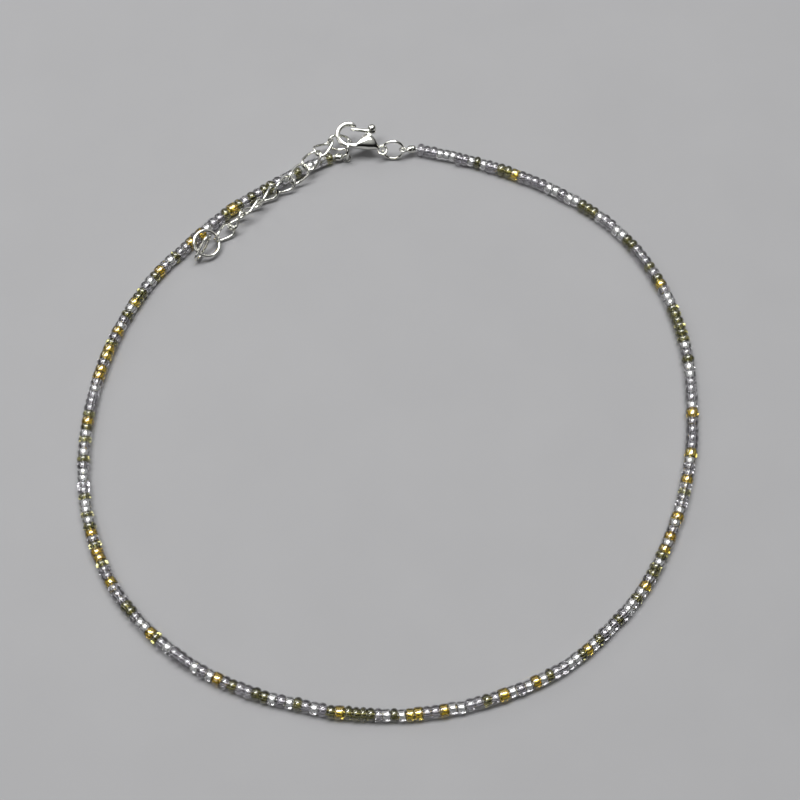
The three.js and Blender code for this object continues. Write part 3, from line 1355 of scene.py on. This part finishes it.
@dataclass
class Fastening:
    """The two jump rings at the clasp and the crimps on the string's ends."""

    clasp: LobsterClasp
    chain_ring: RingSize = RingSize(1.7, 0.27, 2.0)
    chain_ring_angle: float = -70.0
    chain_ring_out: float = 0.5
    chain_ring_drop: float = 0.65
    chain_ring_cut_at: float = 140.0
    clasp_ring: RingSize = RingSize(1.87, 0.26, 2.0)
    clasp_ring_at: Point = (0.33, 49.3, 2.12)
    clasp_ring_lean: float = 70.0
    clasp_ring_cut_at: float = 250.0
    right_crimp: CrimpEnd = CrimpEnd(0.0, (4.42, 50.1, 1.3))
    left_crimp: CrimpEnd = CrimpEnd(-35.0, (-10.35, 48.55, 1.1))
    crimp_eye: RingSize = RingSize(0.65, 0.15)
    crimp_radius: float = 0.75
    crimp_neck: float = 0.7
    crimp_short: float = 0.1
    crimp_pinch: float = 0.1
    crimp_pinch_width: float = 0.16
    crimp_barrel: tuple[BarrelRow, ...] = (
        BarrelRow(0.0, 0.34),
        BarrelRow(0.05, 0.52),
        BarrelRow(0.16, 0.7),
        BarrelRow(0.34, 1.0),
        BarrelRow(0.5, 0.93),
        BarrelRow(0.66, 1.0),
        BarrelRow(0.86, 0.92),
        BarrelRow(0.95, 0.74),
        BarrelRow(1.0, 0.5),
    )

    @property
    def chain_ring_place(self) -> Matrix:
        """The chain ring's place, round the lower arm of the hook.

        Returns:
            The place in the necklace in millimetres.
        """
        angle = math.radians(self.chain_ring_angle)
        out = Vector((math.cos(angle), math.sin(angle), 0.0))
        reach = self.clasp.hook_radius + self.chain_ring_out
        return self.clasp.place @ circle_matrix(out * reach - UP * self.chain_ring_drop, out, UP, 1.0, 1.0)

    @property
    def clasp_ring_place(self) -> Matrix:
        """The clasp ring's place, through the tail eye."""
        return Matrix.Translation(self.clasp_ring_at) @ turned(0.0, 0.0, self.clasp_ring_lean)

    @staticmethod
    def _ring_point(place: Matrix, radius: float, angle: float) -> Vector:
        """A point on a ring's wire.

        Args:
            place: the ring's place.
            radius: to the wire's middle.
            angle: round the ring, in degrees.

        Returns:
            The point in the necklace in millimetres.
        """
        turn = math.radians(angle)
        return place @ Vector((radius * math.cos(turn), radius * math.sin(turn), 0.0))

    def chain_start(self, angle: float) -> Vector:
        """The point on the chain ring's wire at an angle in degrees, where the chain hangs."""
        return self._ring_point(self.chain_ring_place, self.chain_ring.radius, angle)

    def _barrel_sections(self, length: float) -> list[Matrix]:
        """Sections of a crimp's barrel, pressed in at its middle.

        Args:
            length: of the barrel.

        Returns:
            One matrix for each row of the barrel.
        """
        across = Vector((0.0, 1.0, 0.0))
        sections = []
        for row in self.crimp_barrel:
            from_middle = (row.share - 0.5) / self.crimp_pinch_width
            pinch = 1.0 - self.crimp_pinch * math.exp(-(from_middle**2))
            centre = Vector((self.crimp_neck + length * row.share, 0.0, 0.0))
            half = self.crimp_radius * row.girth
            sections.append(circle_matrix(centre, across, UP, half * pinch, half))
        return sections

    def _build_crimp(
        self, name: str, end: CrimpEnd, ring: Matrix, radius: float, material: bpy.types.Material
    ) -> None:
        """Makes a crimp: a pressed barrel on the string's end with an eye round the ring's wire.

        Args:
            name: the solid that it stands for.
            end: where it sits.
            ring: the ring's place.
            radius: the ring's radius.
            material: the silver.
        """
        start = self._ring_point(ring, radius, end.angle)
        turn = math.radians(end.angle)
        wire = (ring.to_3x3() @ Vector((-math.sin(turn), math.cos(turn), 0.0))).normalized()
        along = Vector(end.tip) - start
        length = along.length - self.crimp_short - self.crimp_neck
        along.normalize()
        place = circle_matrix(start, along, wire.cross(along).normalized(), 1.0, 1.0)
        bm = bmesh.new()
        add_ring(bm, self.crimp_eye, 28, 10)
        loft(bm, self._barrel_sections(length), 24)
        bmesh.ops.recalc_face_normals(bm, faces=bm.faces[:])
        piece = Casting().pour(name + "_pressed", bm, None, to_metres(place), material)
        hand_over(piece, NECKLACE, SILVER, name)

    def build(self, material: bpy.types.Material) -> None:
        """Makes the jump rings and crimps.

        Args:
            material: the silver.
        """
        chain_place, clasp_place = self.chain_ring_place, self.clasp_ring_place
        back = Matrix.Rotation(math.radians(self.chain_ring_cut_at), 4, "Z")
        ring = build_ring("chain_ring_wire", self.chain_ring, chain_place @ back, material)
        hand_over(ring, NECKLACE, SILVER, "chain_ring")
        under = Matrix.Rotation(math.radians(self.clasp_ring_cut_at), 4, "Z")
        ring = build_ring("clasp_ring_wire", self.clasp_ring, clasp_place @ under, material)
        hand_over(ring, NECKLACE, SILVER, "clasp_ring")
        self._build_crimp("crimp_right", self.right_crimp, clasp_place, self.clasp_ring.radius, material)
        self._build_crimp("crimp_left", self.left_crimp, chain_place, self.chain_ring.radius, material)


@dataclass
class ExtenderChain:
    """The curb chain that hangs from the chain ring, with its end ring and tail link."""

    start_angle: float = -150.0
    overlap: float = 0.68
    link: LinkSize = LinkSize(2.12, 1.25, 0.25, 45.0)
    turns: tuple[LinkTurn, ...] = (
        LinkTurn(185.0, 10.0, -25.0),
        LinkTurn(230.0, 10.0, 20.0),
        LinkTurn(235.0, -5.0, -5.0),
        LinkTurn(225.0, -10.0, -35.0),
        LinkTurn(215.0, 0.0, -65.0),
        LinkTurn(222.0, 0.0, -90.0),
        LinkTurn(220.0, 5.0, -120.0),
        LinkTurn(230.0, -15.0, -120.0),
        LinkTurn(225.0, 5.0, -65.0),
    )
    end_ring: RingSize = RingSize(2.3, 0.3)
    end_turn: LinkTurn = LinkTurn(215.0, 10.0, -25.0)
    tail: LinkSize = LinkSize(2.4, 1.1, 0.25, 0.0)
    tail_at: Point = (-32.9, 28.8, 2.3)
    tail_turn: LinkTurn = LinkTurn(235.0, -35.0, 85.0)

    def _hung(self, wire: Vector, before: Vector, along: Vector, half_length: float) -> Vector:
        """The middle of a link or ring that hangs on the wire of the one before.

        Args:
            wire: the middle of that wire.
            before: the direction of the one before.
            along: the direction of this one.
            half_length: from this one's middle to its wire.

        Returns:
            The middle in millimetres.
        """
        return wire - (before + along).normalized() * self.overlap + along * half_length

    def build(self, start: Vector, material: bpy.types.Material) -> None:
        """Makes the links, each hung on the wire of the one before, then the end ring and the tail link.

        Args:
            start: the point on the chain ring's wire where the first link hangs.
            material: the silver.
        """
        wire = start.copy()
        before = self.turns[0].along
        for number, turn in enumerate(self.turns, 1):
            middle = self._hung(wire, before, turn.along, self.link.half_length)
            place = Matrix.Translation(middle) @ turn.matrix
            name = f"chain_link_{number}"
            hand_over(build_link(f"{name}_wire", self.link, place, material), NECKLACE, SILVER, name)
            wire, before = middle + turn.along * self.link.half_length, turn.along
        middle = self._hung(wire, before, self.end_turn.along, self.end_ring.radius)
        place = Matrix.Translation(middle) @ self.end_turn.matrix
        ring = build_ring("end_ring_wire", self.end_ring, place, material)
        hand_over(ring, NECKLACE, SILVER, "end_ring")
        place = Matrix.Translation(self.tail_at) @ self.tail_turn.matrix
        tail = build_link("tail_link_wire", self.tail, place, material)
        hand_over(tail, NECKLACE, SILVER, "tail_link")


# Studio


class Panel(NamedTuple):
    """A soft panel of light that faces the necklace, in metres and watts."""

    name: str
    at: Point
    width: float
    height: float
    watts: float


class SkyStop(NamedTuple):
    """One end of the sky's fade: its place along the sky's axis and its grey."""

    at: float
    grey: float


@dataclass
class Studio:
    """Pale table top, soft sky and lights, and the camera. Camera sizes are in millimetres."""

    floor_half: float = 6.0
    sky_axis: Point = (0.0, 0.34, 0.94)
    sky: tuple[SkyStop, SkyStop] = (SkyStop(0.45, 0.012), SkyStop(0.95, 0.8))
    panels: tuple[Panel, ...] = (
        Panel("key", (-0.06, 0.18, 0.88), 1.0, 0.32, 14.0),
        Panel("rim", (-0.55, 0.45, 0.4), 0.25, 0.25, 0.8),
        Panel("fill", (-0.48, -0.43, 0.55), 0.3, 0.3, 0.7),
    )
    elevation: float = 65.0
    distance: float = 270.0
    lens: float = 72.0
    sensor: float = 36.0
    target: Point = (1.6, 0.87, 0.0)

    def _build_floor(self) -> None:
        """Lays the table top."""
        bm = bmesh.new()
        bmesh.ops.create_grid(bm, x_segments=2, y_segments=2, size=self.floor_half)
        mesh = bpy.data.meshes.new("table_top")
        bm.to_mesh(mesh)
        bm.free()
        mesh.materials.append(TABLE_TOP.build())
        floor = bpy.data.objects.new("table_top", mesh)
        bpy.context.scene.collection.objects.link(floor)

    def _build_sky(self) -> None:
        """Makes a sky that is bright overhead and dark low down and in front."""
        world = bpy.data.worlds.new("studio")
        world.use_nodes = True
        bpy.context.scene.world = world
        bench = NodeBench(world.node_tree)
        back = world.node_tree.nodes["Background"]
        place = bench.add("ShaderNodeTexCoord")
        height = bench.add("ShaderNodeVectorMath", operation="DOT_PRODUCT")
        height.inputs[1].default_value = self.sky_axis
        ramp = bench.add("ShaderNodeValToRGB")
        for element, stop in zip(ramp.color_ramp.elements, self.sky):
            element.position = stop.at
            element.color = rgba((stop.grey, stop.grey, stop.grey))
        bench.wire(place.outputs["Generated"], height.inputs[0])
        bench.wire(height.outputs["Value"], ramp.inputs["Fac"])
        bench.wire(ramp.outputs["Color"], back.inputs["Color"])
        back.inputs["Strength"].default_value = 1.0

    @staticmethod
    def _build_panel(panel: Panel) -> None:
        """Hangs one panel of light.

        Args:
            panel: the panel.
        """
        data = bpy.data.lights.new(panel.name, "AREA")
        data.shape = "RECTANGLE"
        data.size = panel.width
        data.size_y = panel.height
        data.energy = panel.watts
        light = bpy.data.objects.new(panel.name, data)
        light.location = panel.at
        light.rotation_euler = (-Vector(panel.at)).to_track_quat("-Z", "Y").to_euler()
        bpy.context.scene.collection.objects.link(light)

    def _build_camera(self) -> None:
        """Sets up the camera in front of the necklace, looking down at it."""
        data = bpy.data.cameras.new("camera")
        data.lens = self.lens
        data.sensor_width = self.sensor
        data.clip_start = 0.01
        camera = bpy.data.objects.new("camera", data)
        lift = math.radians(self.elevation)
        aim = Vector(self.target) * MM
        camera.location = aim + Vector((0.0, -math.cos(lift), math.sin(lift))) * self.distance * MM
        camera.rotation_euler = (math.radians(90.0 - self.elevation), 0.0, 0.0)
        bpy.context.scene.collection.objects.link(camera)
        bpy.context.scene.camera = camera

    def build(self) -> None:
        """Makes the floor, sky, lights and camera."""
        self._build_floor()
        self._build_sky()
        for panel in self.panels:
            self._build_panel(panel)
        self._build_camera()
        bpy.context.scene.view_settings.view_transform = "Standard"


def main() -> None:
    """Builds the necklace and its studio in order."""
    logging.basicConfig(level=logging.INFO, format="%(name)s %(message)s")
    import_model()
    materials = Materials()
    BeadString().build(materials)
    clasp = LobsterClasp()
    clasp.build(materials.silver)
    fastening = Fastening(clasp)
    fastening.build(materials.silver)
    chain = ExtenderChain()
    chain.build(fastening.chain_start(chain.start_angle), materials.silver)
    Studio().build()


if __name__ == "__main__":
    main()
